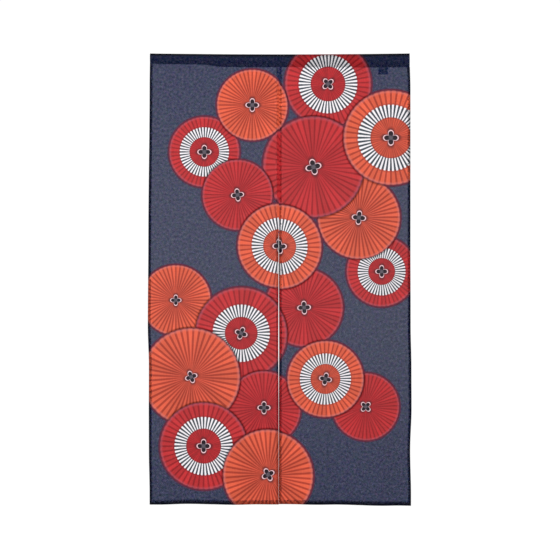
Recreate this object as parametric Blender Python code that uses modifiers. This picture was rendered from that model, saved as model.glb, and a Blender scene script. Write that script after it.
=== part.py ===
"""Noren: a split doorway curtain of two sheer cloth panels under one rod sleeve.

Metres, +Z up. The origin is the centre of the top edge. The front faces -Y, and
+X is to the right as seen from the front.
"""

import math
from typing import NamedTuple

import bmesh
import bpy

# Cloth
CLOTH = 0.0012
TURNED_HEM = 0.0024
LABEL_CLOTH = 0.0010
GAP = 0.0003

# Hang
HALF_WIDTH = 0.425
DROP = 1.470
END_RISE = 0.003
SLIT_X = -0.002
SLIT_TOP = 0.583

# Widths of the turned hems, and of the step from two layers to one
SIDE_HEM = 0.005
SLIT_HEM = 0.006
BOTTOM_HEM = 0.012
HEM_STEP = 0.0008

# Rod sleeve
SLEEVE_DEPTH = 0.0155
SLEEVE_FRONT_BULGE = 0.0030
SLEEVE_BACK_FULLNESS = 0.6
SLEEVE_FOLD_RADIUS = 0.0030
SLEEVE_SEAM_RADIUS = 0.0021
SLEEVE_FRONT_POINTS = 4
SLEEVE_ARC_POINTS = 3
SLEEVE_BACK_POINTS = 8

# Label
LABEL_X = 0.337
LABEL_WIDTH = 0.031
LABEL_HEIGHT = 0.023
LABEL_TUCK = 0.0002
LABEL_GAP = 0.00045
LABEL_COLUMNS = 4
LABEL_ROWS = 3

# How finely each panel is divided
PANEL_COLUMNS = 18
PANEL_ROWS = 28

# Shading: faces that meet at more than this stay crisp
SHARP_ANGLE = math.radians(40.0)

# Slit edges: how far each curls out of the sheet, and how far the curl reaches
LEFT_CURL = -0.0035
RIGHT_CURL = 0.0025
CURL_REACH = 0.045
CURL_START = 0.16


class SeamPoint(NamedTuple):
    """Depth of the sleeve's sewn line below the top edge, across the curtain."""

    x: float
    depth: float


class SidePoint(NamedTuple):
    """Where the two outer edges lie, down the curtain."""

    drop: float
    left_x: float
    right_x: float


class HemPoint(NamedTuple):
    """Where the bottom edge lies, across the curtain."""

    x: float
    drop: float


class SlitPoint(NamedTuple):
    """How far the two panels stand apart, down the curtain."""

    drop: float
    gap: float


class Fold(NamedTuple):
    """A soft fold that runs from the sleeve to the hem. Backwards is plus."""

    x: float
    drift: float
    half_width: float
    depth_at_sleeve: float
    depth_at_hem: float


class Division(NamedTuple):
    """A line across or down a panel: a share of its length, plus metres, and its thickness share."""

    share: float
    offset: float
    layers: float


SLEEVE_SEAM = (
    SeamPoint(-0.425, 0.0320),
    SeamPoint(-0.388, 0.0340),
    SeamPoint(-0.258, 0.0340),
    SeamPoint(-0.186, 0.0415),
    SeamPoint(0.000, 0.0415),
    SeamPoint(0.425, 0.0445),
)

SIDE_EDGES = (
    SidePoint(0.000, -0.4230, 0.4220),
    SidePoint(0.115, -0.4245, 0.4245),
    SidePoint(0.600, -0.4275, 0.4250),
    SidePoint(0.880, -0.4283, 0.4258),
    SidePoint(1.020, -0.4245, 0.4290),
    SidePoint(1.150, -0.4250, 0.4290),
    SidePoint(1.290, -0.4255, 0.4255),
    SidePoint(1.434, -0.4230, 0.4285),
)

BOTTOM_EDGE = (
    HemPoint(-0.425, 1.4655),
    HemPoint(-0.290, 1.4645),
    HemPoint(-0.110, 1.4660),
    HemPoint(0.042, 1.4645),
    HemPoint(0.180, 1.4665),
    HemPoint(0.425, 1.4700),
)

SLIT = (
    SlitPoint(SLIT_TOP, GAP),
    SlitPoint(0.640, 0.0018),
    SlitPoint(0.800, 0.0022),
    SlitPoint(0.930, 0.0036),
    SlitPoint(1.030, 0.0036),
    SlitPoint(1.130, 0.0020),
    SlitPoint(1.470, 0.0026),
)

FOLDS = (
    Fold(-0.385, 0.010, 0.045, 0.0004, -0.0050),
    Fold(-0.285, -0.020, 0.060, -0.0006, 0.0065),
    Fold(-0.165, 0.015, 0.050, 0.0006, -0.0045),
    Fold(-0.075, -0.010, 0.040, -0.0003, 0.0050),
    Fold(0.085, 0.020, 0.055, 0.0005, -0.0055),
    Fold(0.195, -0.015, 0.045, -0.0006, 0.0050),
    Fold(0.290, 0.020, 0.055, 0.0006, -0.0060),
    Fold(0.395, -0.005, 0.035, -0.0004, 0.0050),
)


def clear_scene():
    """Remove whatever the scene holds."""
    for thing in list(bpy.data.objects):
        bpy.data.objects.remove(thing, do_unlink=True)


def eased(fraction):
    """Ease a fraction from 0 to 1, flat at both ends."""
    held = min(max(fraction, 0.0), 1.0)
    return held * held * (3.0 - 2.0 * held)


def read_table(rows, place, column=1):
    """Read a column of a table at a place, easing from one row to the next."""
    if place <= rows[0][0]:
        return rows[0][column]
    for low, high in zip(rows, rows[1:]):
        if place <= high[0]:
            part = eased((place - low[0]) / (high[0] - low[0]))
            return low[column] + part * (high[column] - low[column])
    return rows[-1][column]


def top_edge(x):
    """Height of the top edge, which sags between its two ends."""
    return END_RISE * (x / HALF_WIDTH) ** 2


def seam_height(x):
    """Height of the sleeve's sewn line."""
    return top_edge(x) - read_table(SLEEVE_SEAM, x)


def fold_depth(x, drop):
    """How far the folds carry the cloth backwards at a place."""
    down = drop / DROP
    depth = 0.0
    for fold in FOLDS:
        reach = (x - fold.x - fold.drift * down) / fold.half_width
        size = fold.depth_at_sleeve + (fold.depth_at_hem - fold.depth_at_sleeve) * down
        depth += size * math.exp(-reach * reach)
    return depth


def front_face(x, drop, curl):
    """Y of the cloth's front face: its folds, and the curl of a slit edge."""
    free = eased((drop - SLIT_TOP) / CURL_START)
    reach = (x - SLIT_X) / CURL_REACH
    return fold_depth(x, drop) + curl * free * math.exp(-reach * reach)


def divisions(first_hem, last_hem, count):
    """Divide one side of a panel. A hem adds its edge, its sewn line and a short step to one layer."""
    single = CLOTH / TURNED_HEM
    if first_hem:
        lines = [
            Division(0.0, 0.0, 1.0),
            Division(0.0, first_hem, 1.0),
            Division(0.0, first_hem + HEM_STEP, single),
        ]
    else:
        lines = [Division(0.0, 0.0, single)]
    lines += [Division(step / count, 0.0, single) for step in range(1, count)]
    lines += [
        Division(1.0, -last_hem - HEM_STEP, single),
        Division(1.0, -last_hem, 1.0),
        Division(1.0, 0.0, 1.0),
    ]
    return lines


def panel_edges(is_left, drop):
    """X of a panel's left and right edges at a drop below the top."""
    half_gap = 0.5 * read_table(SLIT, drop)
    if is_left:
        return read_table(SIDE_EDGES, drop, 1), SLIT_X - half_gap
    return SLIT_X + half_gap, read_table(SIDE_EDGES, drop, 2)


def panel_columns(is_left):
    """Divisions across a panel, hemmed on its outer and its slit side."""
    if is_left:
        return divisions(SIDE_HEM, SLIT_HEM, PANEL_COLUMNS)
    return divisions(SLIT_HEM, SIDE_HEM, PANEL_COLUMNS)


def column_x(is_left, column, drop):
    """X of one division across a panel at a drop."""
    low, high = panel_edges(is_left, drop)
    return low + column.share * (high - low) + column.offset


def seam_places(is_left):
    """X of every column of a panel along the sleeve's sewn line."""
    drop = SLEEVE_SEAM[0].depth if is_left else SLEEVE_SEAM[-1].depth
    return [column_x(is_left, column, drop) for column in panel_columns(is_left)]


def make_material(name, colour, roughness):
    """A plain finish: colour and roughness, no metal."""
    material = bpy.data.materials.new(name)
    material.use_nodes = True
    surface = material.node_tree.nodes["Principled BSDF"]
    surface.inputs["Base Color"].default_value = (*colour, 1.0)
    surface.inputs["Roughness"].default_value = roughness
    surface.inputs["Metallic"].default_value = 0.0
    return material


def finish_object(name, bm, material, collection, parent):
    """Make an object from a bmesh, shade it smooth and give it its material."""
    mesh = bpy.data.meshes.new(name)
    bm.to_mesh(mesh)
    bm.free()
    mesh.shade_smooth()
    mesh.set_sharp_from_angle(angle=SHARP_ANGLE)
    mesh.materials.append(material)
    thing = bpy.data.objects.new(name, mesh)
    collection.objects.link(thing)
    thing.parent = parent
    return thing


def thicken(thing, thickness, layers=None):
    """Grow the cloth behind its front face."""
    solid = thing.modifiers.new("Cloth", "SOLIDIFY")
    solid.thickness = thickness
    solid.offset = -1.0
    if layers:
        solid.vertex_group = layers


def make_panel(name, is_left, material, collection, parent):
    """Hang one panel, with its hems turned to the back."""
    columns = panel_columns(is_left)
    rows = divisions(0.0, BOTTOM_HEM, PANEL_ROWS)
    places = seam_places(is_left)
    curl = LEFT_CURL if is_left else RIGHT_CURL
    bm = bmesh.new()
    bmesh.ops.create_grid(bm, x_segments=len(columns) - 1, y_segments=len(rows) - 1, size=0.5)
    layers = bm.verts.layers.deform.verify()
    for point in bm.verts:
        across = round((point.co.x + 0.5) * (len(columns) - 1))
        down = round((0.5 - point.co.y) * (len(rows) - 1))
        seam_x = places[across]
        top = -seam_height(seam_x) + 0.5 * GAP
        low = read_table(BOTTOM_EDGE, seam_x)
        drop = top + rows[down].share * (low - top) + rows[down].offset
        x = seam_x if down == 0 else column_x(is_left, columns[across], drop)
        point.co = (x, front_face(x, drop, curl), -drop)
        point[layers][0] = max(columns[across].layers, rows[down].layers)
    thing = finish_object(name, bm, material, collection, parent)
    thing.vertex_groups.new(name="Layers")
    thicken(thing, TURNED_HEM, "Layers")
    return thing


def arc(centre_y, centre_z, radius, start, end, count):
    """Points on a quarter or half turn, both ends left out."""
    turns = [start + (end - start) * step / (count + 1) for step in range(1, count + 1)]
    return [(centre_y + radius * math.cos(turn), centre_z + radius * math.sin(turn)) for turn in turns]


def sleeve_section(x):
    """Closed outline of the sleeve at a place, as (y, z) points from the seam up the front."""
    top = top_edge(x)
    low = seam_height(x) + 0.5 * GAP
    front = fold_depth(x, top - low)
    fold = SLEEVE_FOLD_RADIUS
    sewn = SLEEVE_SEAM_RADIUS
    points = []
    for step in range(SLEEVE_FRONT_POINTS + 1):
        part = step / SLEEVE_FRONT_POINTS
        height = low + sewn + part * (top - fold - low - sewn)
        points.append((front - SLEEVE_FRONT_BULGE * math.sin(math.pi * part), height))
    points += arc(front + fold, top - fold, fold, math.pi, 0.0, SLEEVE_ARC_POINTS)
    for step in range(SLEEVE_BACK_POINTS + 1):
        part = step / SLEEVE_BACK_POINTS
        width = 2.0 * (fold + part * (sewn - fold))
        belly = math.sin(math.pi * part) ** SLEEVE_BACK_FULLNESS
        depth = width + (SLEEVE_DEPTH - width) * belly
        points.append((front + depth, top - fold - part * (top - fold - low - sewn)))
    points += arc(front + sewn, low + sewn, sewn, 0.0, -math.pi, SLEEVE_ARC_POINTS)
    return points


def make_sleeve(name, material, collection, parent):
    """Draw the sleeve's ring along the seam, from one open end to the other."""
    places = seam_places(True) + seam_places(False)
    bm = bmesh.new()
    order = bm.verts.layers.int.new("order")
    ring = []
    for number, (y, z) in enumerate(sleeve_section(places[0])):
        point = bm.verts.new((places[0], y, z))
        point[order] = number
        ring.append(point)
    edges = [bm.edges.new((ring[number - 1], ring[number])) for number in range(len(ring))]
    for place in places[1:]:
        drawn = bmesh.ops.extrude_edge_only(bm, edges=edges)["geom"]
        edges = [part for part in drawn if isinstance(part, bmesh.types.BMEdge)]
        section = sleeve_section(place)
        for point in (part for part in drawn if isinstance(part, bmesh.types.BMVert)):
            point.co = (place, *section[point[order]])
    bmesh.ops.recalc_face_normals(bm, faces=bm.faces)
    thing = finish_object(name, bm, material, collection, parent)
    thicken(thing, CLOTH)
    return thing


def make_label(name, material, collection, parent):
    """Lay the label on the right panel's back, its top caught at the seam."""
    bm = bmesh.new()
    bmesh.ops.create_grid(bm, x_segments=LABEL_COLUMNS, y_segments=LABEL_ROWS, size=0.5)
    for point in bm.verts:
        x = LABEL_X + point.co.x * LABEL_WIDTH
        top = -seam_height(x) + LABEL_TUCK
        drop = top + (0.5 - point.co.y) * LABEL_HEIGHT
        y = fold_depth(x, drop) + CLOTH + LABEL_GAP
        point.co = (x, y, -drop)
    thing = finish_object(name, bm, material, collection, parent)
    thicken(thing, LABEL_CLOTH)
    return thing


def main():
    """Build the curtain."""
    clear_scene()
    collection = bpy.data.collections.new("noren")
    bpy.context.scene.collection.children.link(collection)
    hang = bpy.data.objects.new("hang", None)
    collection.objects.link(hang)
    sleeve_cloth = make_material("sleeve_cloth", (0.013, 0.017, 0.040), 0.85)
    panel_cloth = make_material("panel_cloth", (0.075, 0.080, 0.140), 0.85)
    label_cloth = make_material("label_cloth", (0.030, 0.030, 0.065), 0.80)
    make_sleeve("heading_sleeve", sleeve_cloth, collection, hang)
    make_panel("panel_left", True, panel_cloth, collection, hang)
    make_panel("panel_right", False, panel_cloth, collection, hang)
    make_label("label_tab", label_cloth, collection, hang)


main()
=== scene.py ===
"""Noren curtain: two sheer printed drops under one rod sleeve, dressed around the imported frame.

Metres, +Z up. The origin is the centre of the top edge, the front faces -Y, and +X is
to the right as seen from the front. Every sheet carries a UV map in metres of flat
cloth, so the print runs on over the sleeve, the folds and the turned hems.
"""

import logging
import math
from dataclasses import dataclass, field
from enum import Enum
from functools import partial
from typing import Callable, NamedTuple

import bmesh
import bpy
from mathutils import Matrix, Vector


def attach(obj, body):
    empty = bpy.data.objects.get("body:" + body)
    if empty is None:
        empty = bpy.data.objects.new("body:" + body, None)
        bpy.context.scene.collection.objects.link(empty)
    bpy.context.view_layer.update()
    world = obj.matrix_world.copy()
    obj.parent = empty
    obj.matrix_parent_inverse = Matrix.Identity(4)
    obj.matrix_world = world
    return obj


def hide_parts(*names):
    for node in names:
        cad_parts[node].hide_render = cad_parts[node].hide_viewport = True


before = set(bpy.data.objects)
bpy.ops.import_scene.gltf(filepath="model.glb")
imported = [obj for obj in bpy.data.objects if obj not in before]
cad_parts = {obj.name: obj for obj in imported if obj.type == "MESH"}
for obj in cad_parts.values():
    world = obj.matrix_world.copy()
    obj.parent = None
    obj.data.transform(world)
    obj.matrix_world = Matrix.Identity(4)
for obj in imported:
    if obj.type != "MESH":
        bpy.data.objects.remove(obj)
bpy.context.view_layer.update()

LOG = logging.getLogger("noren")

BODY = "root"
FLAT_MAP = "FlatCloth"
# Attribute that counts the cloth's layers, which the print darkens as painted shade
SHADE_LAYERS = "Layers"
CENTIMETRE = 0.01
ACROSS = Vector((1.0, 0.0, 0.0))
BACKWARDS = Vector((0.0, 1.0, 0.0))

Colour = tuple[float, float, float]
Place = tuple[float, float, float]
Ramp = tuple[float, float]
Input = bpy.types.NodeSocket | float | int | tuple
Sockets = bpy.types.bpy_prop_collection
Route = Callable[[float], Vector]


class Side(Enum):
    """The two drops of the curtain, as seen from the front."""

    LEFT = "left"
    RIGHT = "right"


class Paper(Enum):
    """The two colours of parasol paper, as the share of red."""

    ORANGE = 0.0
    RED = 1.0


class Face(Enum):
    """The two faces of the cloth that a stitch shows on, as the sense of Y."""

    FRONT = -1.0
    BACK = 1.0


# Tables of the hang, one row for each place


class SeamPoint(NamedTuple):
    """Depth of the sleeve's sewn line below the top edge, across the curtain."""

    x: float
    depth: float


class SidePoint(NamedTuple):
    """Where the two outer edges lie, down the curtain."""

    drop: float
    left_x: float
    right_x: float


class HemPoint(NamedTuple):
    """Where the bottom edge lies, across the curtain."""

    x: float
    drop: float


class SlitPoint(NamedTuple):
    """How far the two drops stand apart, down the curtain."""

    drop: float
    gap: float


class Fold(NamedTuple):
    """A soft fold that runs from the sleeve to the hem. Backwards is plus."""

    x: float
    drift: float
    half_width: float
    depth_at_sleeve: float
    depth_at_hem: float


class Crease(NamedTuple):
    """A short soft ridge or trough in the cloth. Backwards is plus, lean is sideways per metre of drop."""

    x: float
    drop: float
    half_width: float
    half_length: float
    lean: float
    depth: float


class HemRow(NamedTuple):
    """A turned hem: its width, and the layers that its folded edge and its inside count for in painted
    shade.
    """

    width: float
    edge_layers: float
    inner_layers: float


SLEEVE_SEAM = (
    SeamPoint(-0.425, 0.0320),
    SeamPoint(-0.388, 0.0340),
    SeamPoint(-0.258, 0.0340),
    SeamPoint(-0.186, 0.0415),
    SeamPoint(0.000, 0.0415),
    SeamPoint(0.425, 0.0445),
)

SIDE_EDGES = (
    SidePoint(0.000, -0.4220, 0.4230),
    SidePoint(0.115, -0.4232, 0.4258),
    SidePoint(0.600, -0.4272, 0.4258),
    SidePoint(0.880, -0.4290, 0.4265),
    SidePoint(1.020, -0.4254, 0.4290),
    SidePoint(1.150, -0.4258, 0.4295),
    SidePoint(1.290, -0.4254, 0.4250),
    SidePoint(1.434, -0.4230, 0.4278),
)

BOTTOM_EDGE = (
    HemPoint(-0.425, 1.4655),
    HemPoint(-0.290, 1.4645),
    HemPoint(-0.110, 1.4660),
    HemPoint(0.042, 1.4645),
    HemPoint(0.180, 1.4665),
    HemPoint(0.425, 1.4700),
)

SLIT = (
    SlitPoint(0.583, 0.0000),
    SlitPoint(0.592, 0.0008),
    SlitPoint(0.760, 0.0012),
    SlitPoint(0.840, 0.0019),
    SlitPoint(0.950, 0.0025),
    SlitPoint(1.000, 0.0022),
    SlitPoint(1.050, 0.0014),
    SlitPoint(1.150, 0.0008),
    SlitPoint(1.300, 0.0005),
    SlitPoint(1.470, 0.0003),
)

FOLDS = (
    Fold(-0.385, 0.010, 0.045, 0.0004, -0.0050),
    Fold(-0.285, -0.020, 0.060, -0.0006, 0.0065),
    Fold(-0.165, 0.015, 0.050, 0.0006, -0.0045),
    Fold(-0.075, -0.010, 0.040, -0.0003, 0.0050),
    Fold(0.085, 0.020, 0.055, 0.0005, -0.0055),
    Fold(0.195, -0.015, 0.045, -0.0006, 0.0050),
    Fold(0.290, 0.020, 0.055, 0.0006, -0.0060),
    Fold(0.395, -0.005, 0.035, -0.0004, 0.0050),
)

CREASES = (
    Crease(-0.340, 0.110, 0.012, 0.060, 0.30, 0.0007),
    Crease(-0.215, 0.130, 0.010, 0.075, -0.15, -0.0006),
    Crease(-0.060, 0.150, 0.011, 0.070, 0.20, 0.0006),
    Crease(0.120, 0.120, 0.012, 0.060, -0.25, -0.0006),
    Crease(0.260, 0.140, 0.010, 0.080, 0.15, 0.0007),
    Crease(0.370, 0.120, 0.012, 0.060, -0.20, -0.0006),
    Crease(-0.398, 0.920, 0.014, 0.110, 0.05, 0.0009),
    Crease(-0.030, 0.680, 0.010, 0.100, -0.08, -0.0008),
    Crease(0.026, 0.960, 0.012, 0.120, 0.06, 0.0009),
    Crease(0.400, 1.080, 0.014, 0.110, -0.05, -0.0009),
    Crease(-0.360, 1.330, 0.016, 0.080, 0.12, 0.0008),
    Crease(0.330, 1.350, 0.016, 0.080, -0.10, -0.0008),
)

# As wide and as dark as the bands along the edges in the photo; the darkness is painted shade
SIDE_HEM = HemRow(0.0092, 1.6, 1.6)
SLIT_HEMS = {
    Side.LEFT: HemRow(0.0060, 1.0, 1.0),
    Side.RIGHT: HemRow(0.0090, 1.0, 1.1),
}
BOTTOM_HEM = HemRow(0.0140, 2.0, 1.72)


class Parasol(NamedTuple):
    """One open parasol of the print, in rounded centimetres of cloth and degrees.

    The ring's shares are of the radius, and nought where the parasol has no white ring.
    """

    paper: Paper
    x: float
    drop: float
    radius: float
    ring_from: float
    ring_to: float
    cap: float
    turn: float


# The back parasol comes first, and each one lies over those before it
PARASOLS = (
    Parasol(Paper.RED, 33.2, 70.5, 11.5, 0.38, 0.68, 2.05, 0),
    Parasol(Paper.ORANGE, 25.8, 53.0, 13.5, 0.0, 0.0, 2.3, -7),
    Parasol(Paper.RED, 15.75, 9.5, 14.1, 0.40, 0.68, 2.1, 40),
    Parasol(Paper.RED, -24.5, 32.0, 11.5, 0.42, 0.70, 2.25, 0),
    Parasol(Paper.RED, 11.0, 36.5, 16.5, 0.0, 0.0, 2.6, 14),
    Parasol(Paper.ORANGE, 36.2, 27.0, 15.5, 0.43, 0.70, 2.55, 0),
    Parasol(Paper.ORANGE, -8.9, 16.75, 11.6, 0.0, 0.0, 2.2, 0),
    Parasol(Paper.RED, -13.7, 46.0, 11.5, 0.0, 0.0, 2.1, 8),
    Parasol(Paper.RED, 7.95, 82.25, 12.75, 0.0, 0.0, 2.2, 4),
    Parasol(Paper.ORANGE, 0.0, 62.5, 13.75, 0.39, 0.665, 2.3, 6),
    Parasol(Paper.ORANGE, -33.8, 80.25, 11.5, 0.0, 0.0, 1.8, 0),
    Parasol(Paper.RED, -12.5, 91.0, 15.0, 0.355, 0.625, 2.1, -21),
    Parasol(Paper.RED, -5.1, 115.25, 12.0, 0.0, 0.0, 2.1, 0),
    Parasol(Paper.RED, 28.0, 114.5, 11.0, 0.0, 0.0, 1.9, 45),
    Parasol(Paper.ORANGE, 14.9, 105.5, 12.5, 0.39, 0.67, 2.1, -12),
    Parasol(Paper.ORANGE, -28.8, 105.25, 16.0, 0.0, 0.0, 2.05, 20),
    Parasol(Paper.RED, -24.75, 127.75, 14.25, 0.40, 0.67, 2.3, 0),
    Parasol(Paper.ORANGE, -3.75, 137.0, 14.75, 0.0, 0.0, 2.2, 28),
)


def eased(fraction: float) -> float:
    """Ease a fraction from 0 to 1, flat at both ends.

    Args:
        fraction: The fraction, which may run past either end.

    Returns:
        The eased fraction, held between 0 and 1.
    """
    held = min(max(fraction, 0.0), 1.0)
    return held * held * (3.0 - 2.0 * held)


def read_table(rows: tuple, place: float, column: int = 1) -> float:
    """Read a column of a table at a place, easing from one row to the next.

    Args:
        rows: The table, whose first column is the place.
        place: Where to read it.
        column: The column to read.

    Returns:
        The eased value.
    """
    if place <= rows[0][0]:
        return rows[0][column]
    for low, high in zip(rows, rows[1:]):
        if place <= high[0]:
            part = eased((place - low[0]) / (high[0] - low[0]))
            return low[column] + part * (high[column] - low[column])
    return rows[-1][column]


def hump(distance: float, half_width: float) -> float:
    """Height of a soft hump, 1 at its middle.

    Args:
        distance: How far the place is from the middle.
        half_width: How far out the hump has sunk to about a third.

    Returns:
        The height there.
    """
    reach = distance / half_width
    return math.exp(-reach * reach)


@dataclass(frozen=True)
class Hang:
    """How the curtain hangs: its edges, its sewn line and the folds of its two drops.

    The pucker beside a sewn line is one wave along it, with a second, slower wave on it.
    """

    half_width: float = 0.425
    length: float = 1.470
    end_rise: float = 0.003
    slit_x: float = -0.003
    slit_top: float = 0.583
    left_curl: float = -0.0035
    right_curl: float = 0.0025
    curl_reach: float = 0.045
    curl_start: float = 0.16
    pucker_depth: float = 0.00022
    pucker_pitch: float = 0.0115
    pucker_reach: float = 0.011
    second_pucker: float = 0.6
    second_turns: float = 0.43
    second_start: float = 1.3
    right_shift: float = 0.4
    match_slip: float = 0.004

    def top(self, x: float) -> float:
        """Height of the top edge, which sags between its two ends."""
        return self.end_rise * (x / self.half_width) ** 2

    def seam(self, x: float) -> float:
        """Height of the sleeve's sewn line."""
        return self.top(x) - read_table(SLEEVE_SEAM, x)

    def bottom(self, x: float) -> float:
        """Drop of the bottom edge below the origin."""
        return read_table(BOTTOM_EDGE, x)

    def outer_edges(self, drop: float) -> tuple[float, float]:
        """X of the curtain's left and right edges, at a drop below the origin."""
        return read_table(SIDE_EDGES, drop, 1), read_table(SIDE_EDGES, drop, 2)

    def print_slip(self, side: Side) -> float:
        """How far down the print a half was cut, as the two halves don't quite match."""
        return 0.5 * self.match_slip * (1.0 if side is Side.LEFT else -1.0)

    def edges(self, side: Side, drop: float) -> tuple[float, float]:
        """Find a drop's left and right edges.

        Args:
            side: Which of the two drops.
            drop: How far below the origin.

        Returns:
            X of the left and of the right edge.
        """
        half_gap = 0.5 * read_table(SLIT, drop)
        left, right = self.outer_edges(drop)
        if side is Side.LEFT:
            return left, self.slit_x - half_gap
        return self.slit_x + half_gap, right

    def folds(self, x: float, drop: float) -> float:
        """Work out how far the long folds carry the cloth backwards.

        Args:
            x: Place across the curtain.
            drop: How far below the origin.

        Returns:
            Y of the cloth's front face, before its creases.
        """
        down = drop / self.length
        depth = 0.0
        for fold in FOLDS:
            size = fold.depth_at_sleeve + (fold.depth_at_hem - fold.depth_at_sleeve) * down
            depth += size * hump(x - fold.x - fold.drift * down, fold.half_width)
        return depth

    def creases(self, x: float, drop: float) -> float:
        """Work out how far the short creases carry the cloth backwards.

        Args:
            x: Place across the curtain.
            drop: How far below the origin.

        Returns:
            The depth that they add.
        """
        depth = 0.0
        for crease in CREASES:
            along = drop - crease.drop
            across = x - crease.x - crease.lean * along
            depth += crease.depth * hump(along, crease.half_length) * hump(across, crease.half_width)
        return depth

    def pucker(self, from_seam: float, along: float) -> float:
        """Work out the small pucker that a sewn line draws in the cloth beside it.

        Args:
            from_seam: Distance from the sewn line.
            along: Distance along it.

        Returns:
            The depth that it adds.
        """
        turn = 2.0 * math.pi * along / self.pucker_pitch
        second = self.second_pucker * math.sin(self.second_turns * turn + self.second_start)
        return self.pucker_depth * (math.sin(turn) + second) * hump(from_seam, self.pucker_reach)

    def front(self, side: Side, x: float, drop: float) -> float:
        """Place the front face of a drop.

        Args:
            side: Which of the two drops.
            x: Place across the curtain.
            drop: How far below the origin.

        Returns:
            Y of the cloth's front face.
        """
        curl = self.left_curl if side is Side.LEFT else self.right_curl
        free = eased((drop - self.slit_top) / self.curl_start)
        low, high = self.edges(side, drop)
        depth = self.folds(x, drop) + self.creases(x, drop)
        depth += curl * free * hump(x - self.slit_x, self.curl_reach)
        depth += self.pucker(x - low, drop)
        depth += self.pucker(high - x, drop + self.right_shift * self.pucker_pitch)
        depth += self.pucker(-self.seam(x) - drop, x)
        depth += self.pucker(self.bottom(x) - drop, x)
        return depth


@dataclass(frozen=True)
class Cloth:
    """The cloth's thickness, and how its layers lie on each other in a hem.

    Where a hem lies over another one, corner is 1 and its layers lie deeper.
    """

    thickness: float = 0.00025
    ease: float = 0.00005
    corner_tuck: float = 2.0
    corner_outer: float = 6.0

    @property
    def pitch(self) -> float:
        """Distance from one layer to the next."""
        return self.thickness + self.ease

    def tuck_depth(self, corner: float = 0.0) -> float:
        """Depth of a hem's inner layer."""
        return self.pitch * (1.0 + self.corner_tuck * corner)

    def outer_depth(self, corner: float = 0.0) -> float:
        """Depth of a hem's outer layer."""
        return self.thickness + self.pitch * (2.0 + self.corner_outer * corner)


class HemStop(NamedTuple):
    """One line along a turned hem: its place in the flat cloth, and where it lies once turned."""

    past: float
    inward: float
    outer: float
    tuck: float


@dataclass(frozen=True)
class TurnedHem:
    """A hem turned twice to the back of the cloth, and the painted shade of its fold and its inside."""

    cloth: Cloth
    width: float
    edge_layers: float
    inner_layers: float
    arc_steps: int = 4
    raw_edge: float = 0.0012
    shaded_edge: float = 0.0034
    layer_step: float = 0.0003

    @property
    def fold_radius(self) -> float:
        """Radius of the fold along the edge."""
        return 0.5 * self.cloth.outer_depth()

    @property
    def tuck_radius(self) -> float:
        """Radius of the fold where the raw edge turns in."""
        return 0.5 * (self.cloth.outer_depth() - self.cloth.tuck_depth())

    def stops(self) -> list[HemStop]:
        """Follow the cloth from the front of the fold to the raw edge.

        Returns:
            The hem's lines in that order.
        """
        fold = self.fold_radius
        tuck = self.tuck_radius
        run = self.width - tuck - fold
        turns = [math.pi * step / self.arc_steps for step in range(self.arc_steps + 1)]
        stops = []
        for turn in turns:
            outer = 0.5 - 0.5 * math.cos(turn)
            stops.append(HemStop(fold * turn, fold - fold * math.sin(turn), outer, 0.0))
        past = fold * math.pi + run
        for turn in turns:
            turned = 0.5 - 0.5 * math.cos(turn)
            inward = self.width - tuck + tuck * math.sin(turn)
            stops.append(HemStop(past + tuck * turn, inward, 1.0 - turned, turned))
        end = past + tuck * math.pi + run - self.raw_edge
        stops.append(HemStop(end, fold + self.raw_edge, 0.0, 1.0))
        return stops

    @property
    def allowance(self) -> float:
        """Flat cloth that the hem takes past the finished edge."""
        return self.stops()[-1].past - self.fold_radius


class Line(NamedTuple):
    """A line across or down a sheet: its place once sewn, its slip to the flat cloth, and its layers."""

    share: float
    offset: float
    slip: float = 0.0
    outer: float = 0.0
    tuck: float = 0.0
    layers: float = 0.0

    def depth(self, cloth: Cloth) -> float:
        """How far the turned cloth lies behind the front one."""
        return self.outer * cloth.outer_depth() + self.tuck * cloth.tuck_depth()


def edge_lines(hem: TurnedHem, at_high_edge: bool) -> list[Line]:
    """List the lines of a hemmed edge, from the open cloth beside the hem to its raw edge.

    Args:
        hem: The hem.
        at_high_edge: True at the right or bottom edge, False at the left one.

    Returns:
        The lines.
    """
    share, sense = (1.0, -1.0) if at_high_edge else (0.0, 1.0)
    lines = [
        Line(share, sense * (hem.width + hem.layer_step)),
        Line(share, sense * hem.width, layers=hem.inner_layers),
        Line(share, sense * hem.shaded_edge, layers=hem.inner_layers),
    ]
    for stop in hem.stops():
        slip = hem.fold_radius - stop.past - stop.inward
        at_edge = stop.tuck == 0.0 and stop.inward <= hem.fold_radius
        layers = hem.edge_layers if at_edge else hem.inner_layers
        lines.append(Line(share, sense * stop.inward, sense * slip, stop.outer, stop.tuck, layers))
    return lines


def sheet_lines(low_hem: TurnedHem | None, high_hem: TurnedHem, count: int) -> list[Line]:
    """Divide a sheet between its two edges, with each hem's own lines.

    Args:
        low_hem: The hem at the left edge, or None for a plain top edge.
        high_hem: The hem at the right or bottom edge.
        count: How many divisions the open cloth has.

    Returns:
        The lines from the low edge to the high one.
    """
    start = edge_lines(low_hem, False)[::-1] if low_hem else [Line(0.0, 0.0)]
    middle = [Line(part / count, 0.0) for part in range(1, count)]
    return start + middle + edge_lines(high_hem, True)


class Placed(NamedTuple):
    """Where one point of a sheet lies, its place in the flat cloth, and how many layers are behind it, for
    the painted shade.
    """

    place: tuple[float, float, float]
    flat: tuple[float, float]
    layers: float


def link(name: str, mesh: bpy.types.Mesh) -> bpy.types.Object:
    """Make an object for a mesh and add it to the scene.

    Args:
        name: The piece's name.
        mesh: Its mesh, already in place.

    Returns:
        The new object.
    """
    piece = bpy.data.objects.new(name, mesh)
    bpy.context.scene.collection.objects.link(piece)
    return piece


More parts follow.
